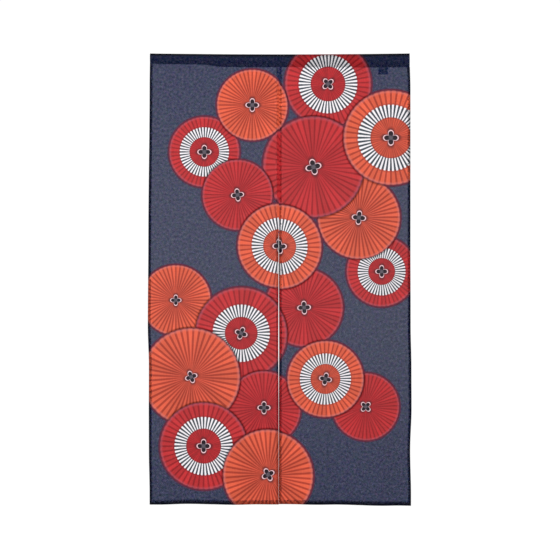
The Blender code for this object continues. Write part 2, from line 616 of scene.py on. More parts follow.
def finish_mesh(name: str, bm: bmesh.types.BMesh, material: bpy.types.Material) -> bpy.types.Object:
    """Turn a bmesh into a smooth piece with its material.

    Args:
        name: The piece's name.
        bm: The bmesh, which is freed.
        material: The piece's finish.

    Returns:
        The new object.
    """
    mesh = bpy.data.meshes.new(name)
    bm.to_mesh(mesh)
    bm.free()
    mesh.shade_smooth()
    mesh.materials.append(material)
    return link(name, mesh)


def weave_sheet(
    name: str,
    across: int,
    down: int,
    place: Callable[[int, int], Placed],
    thickness: float,
    material: bpy.types.Material,
) -> bpy.types.Object:
    """Make a sheet of cloth from a grid, with its flat map, its layers for painted shade and its thickness.

    Args:
        name: The piece's name.
        across: How many lines the sheet has across it.
        down: How many lines it has down it.
        place: Gives where the point on a line across and a line down lies.
        thickness: Thickness of the cloth, which grows behind its front face.
        material: The sheet's finish.

    Returns:
        The new object.
    """
    bm = bmesh.new()
    half = 0.5
    bmesh.ops.create_grid(bm, x_segments=across - 1, y_segments=down - 1, size=half)
    layers = bm.verts.layers.float.new(SHADE_LAYERS)
    flat_map = bm.loops.layers.uv.new(FLAT_MAP)
    flats = {}
    for point in bm.verts:
        column = round((point.co.x + half) * (across - 1))
        row = round((half - point.co.y) * (down - 1))
        placed = place(column, row)
        point.co = placed.place
        point[layers] = placed.layers
        flats[point] = placed.flat
    for face in bm.faces:
        for corner in face.loops:
            corner[flat_map].uv = flats[corner.vert]
    piece = finish_mesh(name, bm, material)
    solid = piece.modifiers.new("Cloth", "SOLIDIFY")
    solid.thickness = thickness
    solid.offset = -1.0
    return piece


@dataclass
class Stitch:
    """One stitch of sewing thread, as a long bead half sunk in the cloth."""

    pitch: float = 0.0030
    length: float = 0.0023
    width: float = 0.00042
    height: float = 0.00030
    raised: float = 0.25
    around: int = 6
    along: int = 4
    bead: bpy.types.Mesh = field(init=False)

    def __post_init__(self) -> None:
        """Make the round bead of radius 1 that every stitch is a stretched copy of."""
        bm = bmesh.new()
        bmesh.ops.create_uvsphere(bm, u_segments=self.around, v_segments=self.along, radius=1.0)
        self.bead = bpy.data.meshes.new("bead")
        bm.to_mesh(self.bead)
        bm.free()

    def lift(self, cloth: Cloth, face: Face) -> Vector:
        """The way from the front of the cloth to a stitch on one of its faces."""
        behind = cloth.outer_depth() if face is Face.BACK else 0.0
        return BACKWARDS * (behind + face.value * self.raised * self.height)

    def lay(self, bm: bmesh.types.BMesh, middle: Vector, heading: Vector, length: float) -> None:
        """Lay one stitch.

        Args:
            bm: The bmesh that the stitch joins.
            middle: Where the stitch lies.
            heading: The way it runs.
            length: How long it is.
        """
        run = heading.normalized()
        side = run.cross(BACKWARDS).normalized()
        turn = Matrix((side, BACKWARDS, run)).transposed().to_4x4()
        size = Matrix.Diagonal((0.5 * self.width, 0.5 * self.height, 0.5 * length, 1.0))
        copy = self.bead.copy()
        copy.transform(Matrix.Translation(middle) @ turn @ size)
        bm.from_mesh(copy)
        bpy.data.meshes.remove(copy)

    def sew(self, bm: bmesh.types.BMesh, route: Route, distance: float, lift: Vector) -> None:
        """Sew a line of stitches.

        Args:
            bm: The bmesh that the stitches join.
            route: Gives the place at a distance along the line.
            distance: How long the line is.
            lift: The way from the line to the stitches.
        """
        quarter = 0.25 * self.pitch
        for number in range(int(distance / self.pitch)):
            middle = (number + 0.5) * self.pitch
            heading = route(middle + quarter) - route(middle - quarter)
            self.lay(bm, route(middle) + lift, heading, self.length)


@dataclass
class SewnPart:
    """What every sewn part of the curtain is made from."""

    hang: Hang
    cloth: Cloth
    stitch: Stitch
    thread: bpy.types.Material

    def sew_lines(self, name: str, slot: str, lines: list[tuple[Route, float]]) -> bpy.types.Object:
        """Sew lines of stitches that show on both faces of the cloth.

        Args:
            name: The stitches' name.
            slot: Not used.
            lines: The route of each line on the front face, and its length.

        Returns:
            The stitches as one piece.
        """
        bm = bmesh.new()
        for route, distance in lines:
            for face in Face:
                self.stitch.sew(bm, route, distance, self.stitch.lift(self.cloth, face))
        piece = finish_mesh(name, bm, self.thread)
        return piece


class SleeveLine(NamedTuple):
    """A line round the sleeve: where it lies, the way inwards, its height in the flat cloth, its layers."""

    place: Vector
    inward: Vector
    height: float
    layers: float


@dataclass
class Sleeve(SewnPart):
    """The rod sleeve: the cloth's top, turned to the back and sewn down as an open tube."""

    finish: bpy.types.Material
    end_hem: TurnedHem
    columns: int = 150
    end_drop: float = 0.02
    depth: float = 0.0155
    front_bulge: float = 0.0030
    back_fullness: float = 0.6
    back_sharpness: int = 6
    fold_radius: float = 0.0030
    seam_radius: float = 0.0021
    front_steps: int = 8
    fold_steps: int = 6
    back_steps: int = 12
    allowance: float = 0.0008
    sewn_below_seam: float = 0.0018
    # Layers of painted shade along the top fold, from the fold's own line downwards
    top_fold_shade: tuple[float, ...] = (2.0, 1.5)

    def section(self, x: float) -> list[SleeveLine]:
        """Follow the cloth round the sleeve at one place across the curtain.

        Args:
            x: Place across the curtain.

        Returns:
            The lines, from the front seam over the top to the back seam.
        """
        top = self.hang.top(x)
        low = self.hang.seam(x)
        front = self.hang.folds(x, -low) + self.hang.pucker(0.0, x)
        fold = self.fold_radius
        tall = top - fold - low
        points = [(Vector((x, front + self.cloth.pitch, low - self.allowance)), 1.0)]
        for step in range(self.front_steps + 1):
            part = step / self.front_steps
            bulge = self.front_bulge * math.sin(math.pi * part)
            loose = self.hang.pucker(0.5 * part * tall, x)
            below = self.front_steps - step
            layers = self.top_fold_shade[below] if below < len(self.top_fold_shade) else 1.0
            points.append((Vector((x, front - bulge + loose, low + part * tall)), layers))
        for step in range(1, self.fold_steps):
            turn = math.pi * step / self.fold_steps
            y = front + fold - fold * math.cos(turn)
            points.append((Vector((x, y, top - fold + fold * math.sin(turn))), self.top_fold_shade[0]))
        for step in range(self.back_steps + 1):
            part = step / self.back_steps
            closed = part ** self.back_sharpness
            width = 2.0 * (fold + part * (self.seam_radius - fold)) * (1.0 - closed)
            belly = math.sin(math.pi * part) ** self.back_fullness
            reach = width + (self.depth - width) * belly
            layer = self.cloth.outer_depth() * closed
            points.append((Vector((x, front + reach + layer, top - fold - part * tall)), 1.0))
        behind = front + self.cloth.outer_depth()
        points.append((Vector((x, behind, low - self.allowance)), 1.0))
        return self.measured(points)

    def measured(self, points: list[tuple[Vector, float]]) -> list[SleeveLine]:
        """Add the way inwards and the height in the flat cloth to a section's points.

        Args:
            points: Each point's place and layers, from the front seam round to the back one.

        Returns:
            The sleeve's lines there.
        """
        lines = []
        flat = points[0][0].z
        for number, (place, layers) in enumerate(points):
            before = points[max(number - 1, 0)][0]
            after = points[min(number + 1, len(points) - 1)][0]
            inward = (after - before).normalized().cross(ACROSS)
            if number:
                flat += (place - before).length
            if number <= self.front_steps + 1:
                flat = min(place.z, flat)
            lines.append(SleeveLine(place, inward, flat, layers))
        return lines

    def flat_size(self) -> tuple[float, float]:
        """Width and length of the strip of cloth that the sleeve takes."""
        low, high = self.hang.outer_edges(0.0)
        lines = self.section(0.0)
        return high - low + 2.0 * self.end_hem.allowance, lines[-1].height - lines[0].height

    def build(self) -> list[bpy.types.Object]:
        """Make the sleeve and its sewn line.

        Returns:
            The sleeve's cloth and its stitches.
        """
        lines = sheet_lines(self.end_hem, self.end_hem, self.columns)
        low, high = self.hang.outer_edges(self.end_drop)
        places = [low + line.share * (high - low) + line.offset for line in lines]
        sections = [self.section(x) for x in places]
        rows = len(sections[0])

        def place(column: int, row: int) -> Placed:
            """Place one point of the strip; its first row is the back seam."""
            x = places[column]
            line = lines[column]
            around = sections[column][rows - 1 - row]
            point = around.place + around.inward * line.depth(self.cloth)
            slip = self.hang.print_slip(Side.LEFT if x < self.hang.slit_x else Side.RIGHT)
            return Placed(tuple(point), (x + line.slip, around.height - slip), around.layers)

        cloth = weave_sheet("sleeve_cloth", len(lines), rows, place, self.cloth.thickness, self.finish)
        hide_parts("heading_sleeve")
        stitches = self.build_stitches(low, high)
        self.flat_size()
        return [cloth, stitches]

    def build_stitches(self, low: float, high: float) -> bpy.types.Object:
        """Sew the sleeve down, through all its layers.

        Args:
            low: X of the sleeve's left end.
            high: X of its right end.

        Returns:
            The stitches as one piece.
        """
        start = low + self.end_hem.width

        def route(along: float) -> Vector:
            """Follow the sewn line from the left."""
            x = start + along
            height = self.hang.seam(x) - self.sewn_below_seam
            return Vector((x, self.hang.folds(x, -height) + self.hang.pucker(0.0, x), height))

        distance = high - low - 2.0 * self.end_hem.width
        return self.sew_lines("sleeve_stitching", "sleeve_cloth", [(route, distance)])


@dataclass
class Label:
    """A small blank woven tab on the back, its top caught in the sleeve's seam."""

    hang: Hang
    finish: bpy.types.Material
    x: float = 0.337
    width: float = 0.031
    height: float = 0.023
    tuck: float = 0.0004
    thickness: float = 0.0004
    stand_off: float = 0.0011
    hang_off: float = 0.0012
    across: int = 17
    down: int = 13
    inset: float = 0.0030
    shade_layers: float = 0.62

    def shade(self, x: float, drop: float) -> float:
        """Tell how far the label keeps the light from the cloth in front of it.

        Args:
            x: Place across the curtain.
            drop: How far below the origin.

        Returns:
            The layers that it counts for, or nought beside it.
        """
        beside = 0.5 * self.width - self.inset - abs(x - self.x)
        below = self.height - self.inset - drop - self.hang.seam(x)
        return self.shade_layers if min(beside, below) > 0.0 else 0.0

    def build(self) -> list[bpy.types.Object]:
        """Make the label.

        Returns:
            The label's cloth.
        """

        def place(column: int, row: int) -> Placed:
            """Place one point of the label; its first row is at the seam."""
            along = column / (self.across - 1) - 0.5
            part = row / (self.down - 1)
            x = self.x + along * self.width
            drop = -self.hang.seam(x) + self.tuck + part * self.height
            loose = self.hang_off * part * part * (1.0 - along * along)
            y = self.hang.folds(x, drop) + self.stand_off + loose
            return Placed((x, y, -drop), (x, -drop), 1.0)

        cloth = weave_sheet("blank_label", self.across, self.down, place, self.thickness, self.finish)
        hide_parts("label_tab")
        return [cloth]


@dataclass
class Drop(SewnPart):
    """One hanging half of the curtain, with its side, slit and bottom hems turned to the back."""

    finish: bpy.types.Material
    side: Side
    side_hem: TurnedHem
    slit_hem: TurnedHem
    bottom_hem: TurnedHem
    label: Label
    columns: int = 78
    rows: int = 180
    top_gap: float = 0.00015
    corner_reach: float = 0.010
    sewn_from_turn: float = 0.0010
    # Share of the slit hem's painted shade where the two drops are joined flat
    joined_shade: float = 0.20
    joined_end: float = 0.03

    @property
    def hems(self) -> tuple[TurnedHem, TurnedHem]:
        """The hems along the left and the right edge."""
        pair = (self.side_hem, self.slit_hem)
        return pair if self.side is Side.LEFT else pair[::-1]

    def flat_size(self) -> tuple[float, float]:
        """Width and length that the drop's cloth was cut to, with what its hems take."""
        low, high = self.hang.edges(self.side, 0.5 * self.hang.length)
        width = high - low + sum(hem.allowance for hem in self.hems)
        middle = 0.5 * (low + high)
        length = self.hang.bottom(middle) + self.hang.seam(middle) + self.bottom_hem.allowance
        return width, length

    def corner(self, x: float, low: float, high: float) -> float:
        """Find how far a bottom hem lies over a side hem.

        Args:
            x: Place across the drop.
            low: X of the drop's left edge.
            high: X of its right edge.

        Returns:
            1 over a side hem, easing to 0 beside it.
        """
        left_hem, right_hem = self.hems
        inside = min(x - low - left_hem.width, high - x - right_hem.width)
        return 1.0 - eased(inside / self.corner_reach)

    def layers(self, across: Line, down: Line, x: float, drop: float) -> float:
        """Count the layers of cloth at a place for painted shade, fewer where the two drops are joined
        flat, with the label's painted shadow.

        Args:
            across: The line across the drop.
            down: The line down the drop.
            x: Place across the curtain.
            drop: How far below the origin.

        Returns:
            The layers behind the first one.
        """
        slit_share = 1.0 if self.side is Side.LEFT else 0.0
        beside = across.layers
        if across.share == slit_share:
            open_part = eased((drop - self.hang.slit_top) / self.joined_end + 0.5)
            beside *= self.joined_shade + (1.0 - self.joined_shade) * open_part
        return max(beside, down.layers, self.label.shade(x, drop))

    def build(self) -> list[bpy.types.Object]:
        """Make the drop and its stitches.

        Returns:
            The drop's cloth and its stitches.
        """
        columns = sheet_lines(*self.hems, self.columns)
        rows = sheet_lines(None, self.bottom_hem, self.rows)
        top_low, top_high = self.hang.edges(self.side, -self.hang.seam(0.0))

        def place(column: int, row: int) -> Placed:
            """Place one point of the drop; its first row is at the sleeve."""
            across, down = columns[column], rows[row]
            top_x = top_low + across.share * (top_high - top_low) + across.offset
            top = -self.hang.seam(top_x) + self.top_gap
            drop = top + down.share * (self.hang.bottom(top_x) - top) + down.offset
            low, high = self.hang.edges(self.side, drop)
            x = low + across.share * (high - low) + across.offset
            corner = self.corner(x, low, high)
            side_depth = across.depth(self.cloth)
            depth = (1.0 - down.outer - down.tuck) * side_depth
            depth += down.outer * (self.cloth.outer_depth(corner) - side_depth)
            depth += down.tuck * (self.cloth.tuck_depth(corner) + side_depth)
            y = self.hang.front(self.side, x, drop) + depth
            flat = (x + across.slip, -drop - down.slip - self.hang.print_slip(self.side))
            return Placed((x, y, -drop), flat, self.layers(across, down, x, drop))

        name = f"{self.side.value}_drop"
        cloth = weave_sheet(name, len(columns), len(rows), place, self.cloth.thickness, self.finish)
        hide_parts(f"panel_{self.side.value}")
        stitches = self.sew_lines(f"{self.side.value}_stitching", "panel_cloth", self.routes())
        self.flat_size()
        return [cloth, stitches]

    def on_front(self, x: float, drop: float) -> Vector:
        """Place a point on the drop's front face."""
        return Vector((x, self.hang.front(self.side, x, drop), -drop))

    def routes(self) -> list[tuple[Route, float]]:
        """List the drop's sewn lines on the front face.

        Returns:
            Each line's route and its length.
        """
        hang = self.hang
        left_hem, right_hem = self.hems
        starts = (-hang.seam(0.0), hang.slit_top)
        if self.side is Side.RIGHT:
            starts = starts[::-1]
        insets = (left_hem.width - self.sewn_from_turn, self.sewn_from_turn - right_hem.width)
        low, high = hang.edges(self.side, hang.length)
        end = hang.length - self.bottom_hem.width

        def beside(edge: int, along: float) -> Vector:
            """Follow the hem of the left edge (0) or the right edge (1) down."""
            drop = starts[edge] + along
            return self.on_front(hang.edges(self.side, drop)[edge] + insets[edge], drop)

        def bottom(along: float) -> Vector:
            """Follow the bottom hem from the left."""
            x = low + left_hem.width + along
            return self.on_front(x, hang.bottom(x) - self.bottom_hem.width + self.sewn_from_turn)

        lines = [(partial(beside, edge), end - start) for edge, start in enumerate(starts)]
        lines.append((bottom, high - low - left_hem.width - right_hem.width))
        return lines


@dataclass
class CentreJoin(SewnPart):
    """Where the two drops are sewn together above the slit, and the tack that ends it."""

    tack_width: float = 0.0080
    tack_bars: int = 10
    tack_pitch: float = 0.0006

    def build(self) -> list[bpy.types.Object]:
        """Make the joining stitches on the back, and the tack on both faces.

        Returns:
            One piece of thread.
        """
        bm = bmesh.new()
        start = -self.hang.seam(0.0)
        distance = self.hang.slit_top - start

        def route(along: float) -> Vector:
            """Follow the join down from the sleeve."""
            drop = start + along
            x = self.hang.slit_x
            return Vector((x, self.hang.front(Side.LEFT, x, drop), -drop))

        for face in Face:
            lift = self.stitch.lift(self.cloth, face)
            if face is Face.BACK:
                self.stitch.sew(bm, route, distance, lift)
            for number in range(self.tack_bars):
                middle = route(distance - number * self.tack_pitch) + lift
                self.stitch.lay(bm, middle, ACROSS, self.tack_width)
        piece = finish_mesh("centre_join", bm, self.thread)
        return [piece]


# Sockets of a Mix node: its two inputs and its result
MIX_SOCKETS = {"FLOAT": (2, 3, 0), "VECTOR": (4, 5, 1), "RGBA": (6, 7, 2)}


class Bench:
    """Adds nodes to one tree and joins them."""

    def __init__(self, tree: bpy.types.NodeTree) -> None:
        """Take the tree to work on."""
        self.tree = tree

    def join(self, socket: bpy.types.NodeSocket, value: Input) -> None:
        """Join a socket to another one, or set its value.

        Args:
            socket: The input socket.
            value: The output socket that feeds it, or a plain value.
        """
        if isinstance(value, bpy.types.NodeSocket):
            self.tree.links.new(value, socket)
        else:
            socket.default_value = value

    def add(self, kind: str, inputs: dict[str, Input], **settings: object) -> bpy.types.Node:
        """Add a node.

        Args:
            kind: The node's Blender type.
            inputs: What feeds its named inputs.
            settings: The node's own settings.

        Returns:
            The node.
        """
        node = self.tree.nodes.new(kind)
        for name, value in settings.items():
            setattr(node, name, value)
        for name, value in inputs.items():
            self.join(node.inputs[name], value)
        return node

    def work(self, kind: str, operation: str, values: tuple[Input, ...]) -> bpy.types.Node:
        """Add a node that works something out.

        Args:
            kind: The node's Blender type, for numbers or for vectors.
            operation: Its operation.
            values: What it works on.

        Returns:
            The node.
        """
        node = self.tree.nodes.new(kind)
        node.operation = operation
        for socket, value in zip(node.inputs, values):
            self.join(socket, value)
        return node

    def maths(self, operation: str, *values: Input) -> bpy.types.NodeSocket:
        """Work out a number, with an operation of the Math node."""
        return self.work("ShaderNodeMath", operation, values).outputs[0]

    def times(self, first: Input, second: Input) -> bpy.types.NodeSocket:
        """Multiply two numbers."""
        return self.maths("MULTIPLY", first, second)

    def vector(self, operation: str, *values: Input) -> bpy.types.NodeSocket:
        """Work out a vector, with an operation of the Vector Math node."""
        return self.work("ShaderNodeVectorMath", operation, values).outputs["Vector"]

    def length(self, value: Input) -> bpy.types.NodeSocket:
        """Measure a vector."""
        return self.work("ShaderNodeVectorMath", "LENGTH", (value,)).outputs["Value"]

    def dot(self, first: Input, second: Input) -> bpy.types.NodeSocket:
        """Take the dot product of two vectors."""
        return self.work("ShaderNodeVectorMath", "DOT_PRODUCT", (first, second)).outputs["Value"]

    def scaled(self, value: Input, scale: Input) -> bpy.types.NodeSocket:
        """Scale a vector by one number."""
        node = self.add("ShaderNodeVectorMath", {"Scale": scale}, operation="SCALE")
        self.join(node.inputs[0], value)
        return node.outputs["Vector"]

    def parts(self, value: Input) -> tuple[bpy.types.NodeSocket, ...]:
        """Split a vector into its three parts."""
        return tuple(self.add("ShaderNodeSeparateXYZ", {"Vector": value}).outputs)

    def smooth(self, value: Input, low: Input, high: Input) -> bpy.types.NodeSocket:
        """Ease a value from 0 at low to 1 at high.

        Args:
            value: The value.
            low: Where the result is 0.
            high: Where the result is 1.

        Returns:
            The result's socket.
        """
        inputs = {"Value": value, "From Min": low, "From Max": high}
        return self.add("ShaderNodeMapRange", inputs, interpolation_type="SMOOTHSTEP").outputs["Result"]

    def ranged(self, value: Input, span: Ramp, result: Ramp) -> bpy.types.NodeSocket:
        """Carry a value from one range to another, held at both ends.

        Args:
            value: The value.
            span: The two ends of its own range.
            result: The result at each of them.

        Returns:
            The result's socket.
        """
        inputs = {"Value": value, "From Min": span[0], "From Max": span[1]}
        inputs |= {"To Min": result[0], "To Max": result[1]}
        return self.add("ShaderNodeMapRange", inputs).outputs["Result"]

    def between(self, share: Input, first: float, last: float) -> bpy.types.NodeSocket:
        """Go from the first number at a share of 0 to the last one at 1."""
        return self.ranged(share, (0.0, 1.0), (first, last))

    def blend(self, kind: str, factor: Input, first: Input, second: Input) -> bpy.types.NodeSocket:
        """Mix two values, vectors or colours.

        Args:
            kind: FLOAT, VECTOR or RGBA.
            factor: The share of the second.
            first: The first.
            second: The second.

        Returns:
            The result's socket.
        """
        node = self.tree.nodes.new("ShaderNodeMix")
        node.data_type = kind
        first_socket, second_socket, result = MIX_SOCKETS[kind]
        self.join(node.inputs[0], factor)
        self.join(node.inputs[first_socket], first)
        self.join(node.inputs[second_socket], second)
        return node.outputs[result]

    def tint(self, factor: Input, first: Input, second: Input) -> bpy.types.NodeSocket:
        """Mix two inks, each a socket or a plain colour."""
        pair = [rgba(ink) if isinstance(ink, tuple) else ink for ink in (first, second)]
        return self.blend("RGBA", factor, *pair)

    def group(self, tree: bpy.types.NodeTree, **inputs: Input) -> bpy.types.Node:
        """Add a node group.

        Args:
            tree: The group's own tree.
            inputs: What feeds its inputs, with _ for each space in a name.

        Returns:
            The group's node.
        """
        node = self.tree.nodes.new("ShaderNodeGroup")
        node.node_tree = tree
        for name, value in inputs.items():
            self.join(node.inputs[name.replace("_", " ")], value)
        return node


def rgba(colour: Colour) -> tuple[float, float, float, float]:
    """Add a full alpha to a colour."""
    return (*colour, 1.0)


def new_group(name: str, takes: dict[str, str], gives: dict[str, str]) -> tuple[Bench, Sockets, Sockets]:
    """Start a node group with named inputs and outputs.

    Args:
        name: The group's name.
        takes: Its inputs, by name, as Float, Vector or Color.
        gives: Its outputs, in the same way.

    Returns:
        The bench for the group, what it is given, and what it gives out.
    """
    tree = bpy.data.node_groups.new(name, "ShaderNodeTree")
    for label, kind in takes.items():
        tree.interface.new_socket(label, in_out="INPUT", socket_type=f"NodeSocket{kind}")
    for label, kind in gives.items():
        tree.interface.new_socket(label, in_out="OUTPUT", socket_type=f"NodeSocket{kind}")
    inside = tree.nodes.new("NodeGroupInput")
    out = tree.nodes.new("NodeGroupOutput")
    return Bench(tree), inside.outputs, out.inputs


def new_material(name: str, roughness: float, gloss: float) -> tuple[bpy.types.Material, Bench, Sockets]:
    """Start a material.

    Args:
        name: The material's name.
        roughness: Its roughness all over.
        gloss: Its specular level all over.

    Returns:
        The material, its bench, and the inputs of its Principled BSDF.
    """
    material = bpy.data.materials.new(name)
    material.use_nodes = True
    surface = material.node_tree.nodes["Principled BSDF"].inputs
    surface["Roughness"].default_value = roughness
    surface["Specular IOR Level"].default_value = gloss
    return material, Bench(material.node_tree), surface


@dataclass(frozen=True)
class PrintInks:
    """The print's colours, as linear light from one layer of cloth."""

    navy: Colour = (0.0170, 0.0230, 0.0640)
    navy_uneven: Colour = (0.1250, 0.1250, 0.1700)
    # Painted shade: navy darkened where the cloth is doubled, for the light that the second layer keeps
    # back
    navy_doubled_shade: Colour = (0.0075, 0.0105, 0.0330)
    orange_inner: Colour = (0.500, 0.065, 0.034)
    orange_outer: Colour = (0.665, 0.098, 0.045)
    orange_rim: Colour = (0.58, 0.15, 0.13)
    orange_rib: Colour = (0.24, 0.016, 0.009)
    red_inner: Colour = (0.375, 0.013, 0.018)
    red_outer: Colour = (0.460, 0.021, 0.025)
    red_rim: Colour = (0.40, 0.062, 0.090)
    red_rib: Colour = (0.20, 0.004, 0.008)
    white: Colour = (0.80, 0.77, 0.80)
    white_gap: Colour = (0.045, 0.055, 0.070)
    shadow: Colour = (0.020, 0.006, 0.014)
    outline: Colour = (0.115, 0.018, 0.034)
    cap_line: Colour = (0.84, 0.54, 0.58)
    cap_petal: Colour = (0.010, 0.003, 0.008)
    cap_heart: Colour = (0.090, 0.075, 0.095)


class Spot(NamedTuple):
    """A place on a parasol, as sockets.

    Reach, ring and cap are shares of the radius. Edge is 0 in the middle of a petal and 1
    on a rib, and scallop is the same, rounded. Red is 1 for red paper, ringed is 1 for a
    parasol with a white ring, and angle is the way round from the cap's own turn.
    """

    reach: Input
    angle: Input
    edge: Input
    scallop: Input
    red: Input
    ring: tuple[Input, Input]
    ringed: Input
    cap: Input


@dataclass(frozen=True)
class PaperPetals:
    """A parasol's paper, with its ribs and its rim. A pair is where a mask is 0 and where it is 1."""

    inks: PrintInks
    tints: Ramp = (0.86, 1.12)
    outward: Ramp = (0.12, 0.85)
    rib_edge: float = 0.54
    rib_softness: float = 0.20
    rib_widening: float = -0.14
    widening: Ramp = (0.98, 0.55)
    rib_rise: Ramp = (0.10, 0.45)
    rib_least: float = 0.50
    rib_more: float = 0.22
    scallop: float = 0.010
    rim: Ramp = (0.92, 0.985)
    rim_strength: float = 0.65
    end: Ramp = (0.965, 1.008)

    def ribbed(self, bench: Bench, spot: Spot) -> bpy.types.NodeSocket:
        """Colour the paper and its ribs, which are wider towards the middle on plain orange.

        Args:
            bench: The bench to work on.
            spot: The place on the parasol.

        Returns:
            The colour's socket.
        """
        inks = self.inks
        outward = bench.smooth(spot.reach, *self.outward)
        orange = bench.tint(outward, inks.orange_inner, inks.orange_outer)
        crimson = bench.tint(outward, inks.red_inner, inks.red_outer)
        petal = bench.tint(spot.red, orange, crimson)
        rib_ink = bench.tint(spot.red, inks.orange_rib, inks.red_rib)
        plain = bench.maths("SUBTRACT", 1.0, spot.ringed)
        plain_orange = bench.times(bench.maths("SUBTRACT", 1.0, spot.red), plain)
        wedge = bench.times(plain_orange, bench.smooth(spot.reach, *self.widening))
        rib_start = bench.maths("MULTIPLY_ADD", wedge, self.rib_widening, self.rib_edge)
        rib = bench.smooth(spot.edge, rib_start, bench.maths("ADD", rib_start, self.rib_softness))
        rise = bench.smooth(spot.reach, *self.rib_rise)
        strength = bench.maths("MULTIPLY_ADD", rise, self.rib_more, self.rib_least)
        return bench.tint(bench.times(rib, strength), petal, rib_ink)

    def rimmed(self, bench: Bench, paper: Input, spot: Spot) -> bpy.types.NodeSocket:
        """Lighten the scalloped rim and darken the notches between its petals.

        Args:
            bench: The bench to work on.
            paper: The paper's colour.
            spot: The place on the parasol.

        Returns:
            The colour's socket.
        """
        inks = self.inks
        end = bench.maths("MULTIPLY_ADD", spot.scallop, self.scallop, spot.reach)
        rim_ink = bench.tint(spot.red, inks.orange_rim, inks.red_rim)
        light = bench.times(bench.smooth(end, *self.rim), self.rim_strength)
        rim = bench.tint(light, paper, rim_ink)
        return bench.tint(bench.smooth(end, *self.end), rim, inks.outline)


@dataclass(frozen=True)
class WhiteRing:
    """A parasol's ring of white petals. A pair is where a mask is 0 and where it is 1."""

    inks: PrintInks
    scallop: float = 0.024
    inner_edge: Ramp = (-0.006, 0.010)
    outer_edge: Ramp = (0.006, -0.010)
    inner_shadow: Ramp = (-0.045, -0.004)
    outer_shadow: Ramp = (0.045, 0.004)
    shadow_end: Ramp = (-0.05, 0.0)
    shadow_strength: float = 0.35
    gap: Ramp = (0.40, 0.58)

    def draw(self, bench: Bench, paper: Input, spot: Spot) -> bpy.types.NodeSocket:
        """Lay the ring over the paper.

        Args:
            bench: The bench to work on.
            paper: The paper's colour.
            spot: The place on the parasol.

        Returns:
            The colour's socket.
        """
        inks = self.inks
        ring_from, ring_to = spot.ring
        scalloped = bench.maths("MULTIPLY_ADD", spot.scallop, self.scallop, spot.reach)
        inner = bench.maths("SUBTRACT", spot.reach, ring_from)
        outer = bench.maths("SUBTRACT", scalloped, ring_to)
        within = bench.times(bench.smooth(inner, *self.inner_edge), bench.smooth(outer, *self.outer_edge))
        inside = bench.times(bench.smooth(inner, *self.inner_shadow), self.shadow_strength)
        outside = bench.times(bench.smooth(outer, *self.outer_shadow), self.shadow_strength)
        ended = bench.smooth(inner, *self.shadow_end)
        shadow = bench.times(ended, bench.maths("MINIMUM", inside, outside))
        dulled = bench.tint(bench.times(shadow, spot.ringed), paper, inks.shadow)
        petals = bench.tint(bench.smooth(spot.edge, *self.gap), inks.white, inks.white_gap)
        return bench.tint(bench.times(within, spot.ringed), dulled, petals)


@dataclass(frozen=True)
class PetalledCap:
    """The cap at a parasol's middle, with four petals. A pair is where a mask is 0 and where it is 1."""

    inks: PrintInks
    turns: float = 2.0
    roundness: float = 1.1
    petal_reach: float = 0.52
    waist: float = 0.50
    halo: Ramp = (1.55, 1.00)
    halo_strength: float = 0.70
    petal_start: Ramp = (0.24, 0.34)
    petal_side: Ramp = (0.30, 0.60)
    line: Ramp = (0.82, 0.88)
    edge: Ramp = (1.03, 0.95)

    def draw(self, bench: Bench, paper: Input, spot: Spot) -> bpy.types.NodeSocket:
        """Lay the cap over the paper.

        Args:
            bench: The bench to work on.
            paper: The paper's colour.
            spot: The place on the parasol.

        Returns:
            The colour's socket.
        """
        inks = self.inks
        out = bench.maths("DIVIDE", spot.reach, spot.cap)
        lobe = bench.maths("ABSOLUTE", bench.maths("COSINE", bench.times(spot.angle, self.turns)))
        rounded = bench.maths("POWER", lobe, self.roundness)
        shape = bench.maths("MULTIPLY_ADD", rounded, self.petal_reach, self.waist)
        within = bench.maths("DIVIDE", out, shape)
        halo = bench.times(bench.smooth(within, *self.halo), self.halo_strength)
        dulled = bench.tint(halo, paper, inks.cap_petal)
        petal = bench.times(bench.smooth(within, *self.petal_start), bench.smooth(lobe, *self.petal_side))
        heart = bench.tint(petal, inks.cap_heart, inks.cap_petal)
        lined = bench.tint(bench.smooth(within, *self.line), heart, inks.cap_line)
        return bench.tint(bench.smooth(within, *self.edge), dulled, lined)


